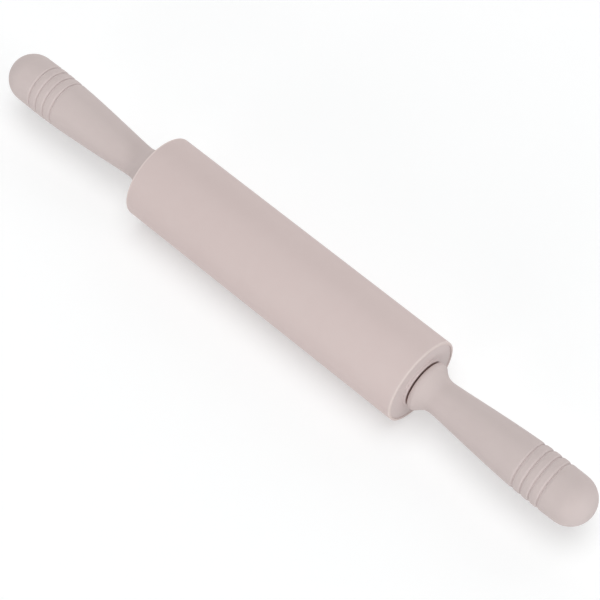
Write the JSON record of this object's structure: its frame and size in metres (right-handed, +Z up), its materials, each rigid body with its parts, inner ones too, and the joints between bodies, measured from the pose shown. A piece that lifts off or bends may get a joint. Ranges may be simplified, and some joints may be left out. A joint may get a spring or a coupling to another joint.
{
  "type": "rolling pin",
  "caption": "Rolling pin with a soft silicone sleeve over a rigid barrel, turning on a through axle between two soft grooved handles with domed ends.",
  "frame": {"origin": "middle of the roller, on the axle's centre line", "axes": "+X along the axle towards the right handle, +Z up, the roller lies on a worktop below the origin"},
  "size_m": [0.4174, 0.0498, 0.0498],
  "materials": {
    "roller_silicone": "matte dusty pink silicone",
    "handle_silicone": "matte dusty pink silicone",
    "moulded_plastic": "fine matte moulded plastic in the sleeve's colour",
    "barrel_plastic": "natural moulded polypropylene",
    "bearing_nylon": "natural nylon",
    "steel": "drawn stainless bar",
    "brass": "turned brass"
  },
  "bodies": {
    "handles": {"axle_rod": "steel", "retaining_ring_left": "steel", "retaining_ring_right": "steel", "thrust_washer_left": "bearing_nylon", "thrust_washer_right": "bearing_nylon", "handle_core_left": "barrel_plastic", "handle_core_right": "barrel_plastic", "threaded_insert_left": "brass", "threaded_insert_right": "brass", "core_cap_left": "barrel_plastic", "core_cap_right": "barrel_plastic", "handle_grip_left": "handle_silicone", "handle_grip_right": "handle_silicone"},
    "roller": {"silicone_sleeve": "roller_silicone", "core_tube": "barrel_plastic", "end_plug_left": "moulded_plastic", "end_plug_right": "moulded_plastic", "bush_left": "bearing_nylon", "bush_right": "bearing_nylon"}
  },
  "joints": [
    {"name": "roller_spin", "type": "hinge", "parent": "handles", "child": "roller", "pos_m": [0, 0, 0], "axis": [1, 0, 0], "continuous": true}
  ]
}
